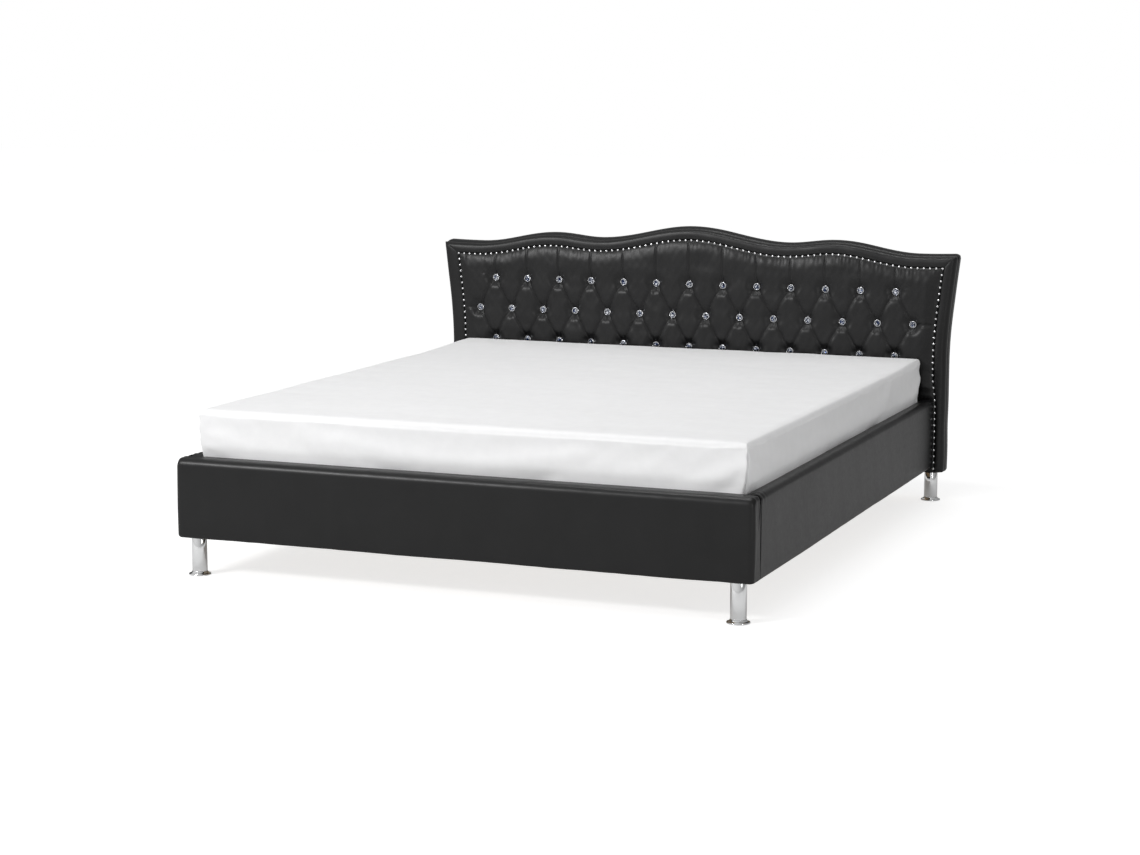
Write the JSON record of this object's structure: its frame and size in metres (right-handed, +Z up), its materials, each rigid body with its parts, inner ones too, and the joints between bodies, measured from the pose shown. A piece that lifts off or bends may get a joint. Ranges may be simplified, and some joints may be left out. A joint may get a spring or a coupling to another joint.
{
  "type": "upholstered double bed",
  "caption": "Black leather-look double bed: low padded frame, serpentine tufted headboard with crystal buttons and nailhead trim, chrome disc-foot legs, white mattress.",
  "frame": {"origin": "on the floor under the middle of the whole bed", "axes": "+Z up, +Y towards the headboard, +X to the right seen from the foot end"},
  "size_m": [2.0398, 2.234, 0.9775],
  "materials": {
    "black_leather": "satin",
    "dust_cloth": "matte",
    "foam": "matte",
    "plywood": "sanded",
    "pine": "planed",
    "chrome": "polished",
    "nail_silver": "polished",
    "black_steel": "satin powder coat",
    "zinc_steel": "zinc plated",
    "crystal": "cut and polished",
    "white_sheet": "matte",
    "ticking": "matte"
  },
  "bodies": {
    "frame": {"beam_bracket_front": "black_steel", "beam_bracket_rear": "black_steel", "border_left": "black_leather", "border_right": "black_leather", "border_top": "black_leather", "button_row_1": "crystal", "button_row_2": "crystal", "button_row_3": "crystal", "button_row_4": "crystal", "centre_beam": "pine", "centre_leg_front": "black_steel", "centre_leg_rear": "black_steel", "corner_bolt_front_left": "zinc_steel", "corner_bolt_front_right": "zinc_steel", "corner_bolt_rear_left": "zinc_steel", "corner_bolt_rear_right": "zinc_steel", "corner_bracket_front_left": "black_steel", "corner_bracket_front_right": "black_steel", "corner_bracket_rear_left": "black_steel", "corner_bracket_rear_right": "black_steel", "footboard_core": "pine", "footboard_cover": "black_leather", "footboard_foam": "foam", "headboard_back_cover": "dust_cloth", "headboard_board": "plywood", "headboard_bottom_rail": "pine", "headboard_post_left": "pine", "headboard_post_right": "pine", "leg_bolt_front_left": "zinc_steel", "leg_bolt_front_right": "zinc_steel", "leg_bolt_rear_left": "zinc_steel", "leg_bolt_rear_right": "zinc_steel", "leg_front_left": "chrome", "leg_front_right": "chrome", "leg_rear_left": "chrome", "leg_rear_right": "chrome", "nail_strip_left": "nail_silver", "nail_strip_right": "nail_silver", "nail_strip_top": "nail_silver", "rail_board_left": "pine", "rail_board_right": "pine", "rail_cover_left": "black_leather", "rail_cover_right": "black_leather", "rail_foam_left": "foam", "rail_foam_right": "foam", "slat_ledge_left": "pine", "slat_ledge_right": "pine", "slat_roll_left": "pine", "slat_roll_right": "pine", "tufted_cover": "black_leather", "tufting_foam": "foam"},
    "mattress": {"mattress": "ticking", "fitted_sheet": "white_sheet"},
    "foot_front_left_body": {"foot_front_left": "chrome"},
    "foot_front_right_body": {"foot_front_right": "chrome"},
    "foot_rear_left_body": {"foot_rear_left": "chrome"},
    "foot_rear_right_body": {"foot_rear_right": "chrome"},
    "centre_foot_front_body": {"centre_foot_front": "black_steel"},
    "centre_foot_rear_body": {"centre_foot_rear": "black_steel"}
  },
  "joints": [
    {"name": "mattress_lift", "type": "slide", "parent": "frame", "child": "mattress", "axis": [0, 0, 1], "range_m": [0, 0.5]},
    {"name": "foot_front_left_screw", "type": "slide", "parent": "frame", "child": "foot_front_left_body", "axis": [0, 0, 1], "range_m": [-0.015, 0]},
    {"name": "foot_front_right_screw", "type": "slide", "parent": "frame", "child": "foot_front_right_body", "axis": [0, 0, 1], "range_m": [-0.015, 0]},
    {"name": "foot_rear_left_screw", "type": "slide", "parent": "frame", "child": "foot_rear_left_body", "axis": [0, 0, 1], "range_m": [-0.015, 0]},
    {"name": "foot_rear_right_screw", "type": "slide", "parent": "frame", "child": "foot_rear_right_body", "axis": [0, 0, 1], "range_m": [-0.015, 0]},
    {"name": "centre_foot_front_screw", "type": "slide", "parent": "frame", "child": "centre_foot_front_body", "axis": [0, 0, 1], "range_m": [-0.015, 0]},
    {"name": "centre_foot_rear_screw", "type": "slide", "parent": "frame", "child": "centre_foot_rear_body", "axis": [0, 0, 1], "range_m": [-0.015, 0]}
  ]
}
